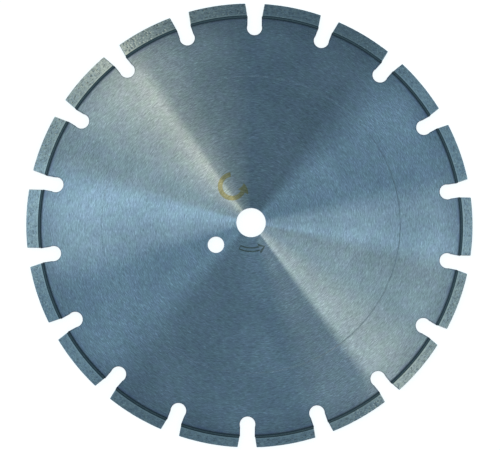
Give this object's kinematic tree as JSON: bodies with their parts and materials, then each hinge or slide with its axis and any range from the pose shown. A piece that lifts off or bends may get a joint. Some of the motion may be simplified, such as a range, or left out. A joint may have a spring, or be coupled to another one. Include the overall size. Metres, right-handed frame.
{
  "type": "diamond cutting disc",
  "caption": "Flat steel saw disc with a slotted rim of welded diamond segments, a central arbor bore and an offset drive pin hole.",
  "frame": {"origin": "centre of the arbor bore, at the middle of the core's thickness", "axes": "+Z along the arbor axis, up as the disc lies flat; +X and +Y in the disc's plane, with the first slot just above +X"},
  "size_m": [0.305, 0.3049, 0.003],
  "materials": {
    "ground_steel": "circular ground steel",
    "sintered_segment": "pitted sintered metal with diamond grit, side ground"
  },
  "bodies": {
    "root": {"steel_core": "ground_steel", "segment_01": "sintered_segment", "segment_02": "sintered_segment", "segment_03": "sintered_segment", "segment_04": "sintered_segment", "segment_05": "sintered_segment", "segment_06": "sintered_segment", "segment_07": "sintered_segment", "segment_08": "sintered_segment", "segment_09": "sintered_segment", "segment_10": "sintered_segment", "segment_11": "sintered_segment", "segment_12": "sintered_segment", "segment_13": "sintered_segment", "segment_14": "sintered_segment", "segment_15": "sintered_segment", "segment_16": "sintered_segment", "segment_17": "sintered_segment", "segment_18": "sintered_segment"}
  },
  "joints": []
}
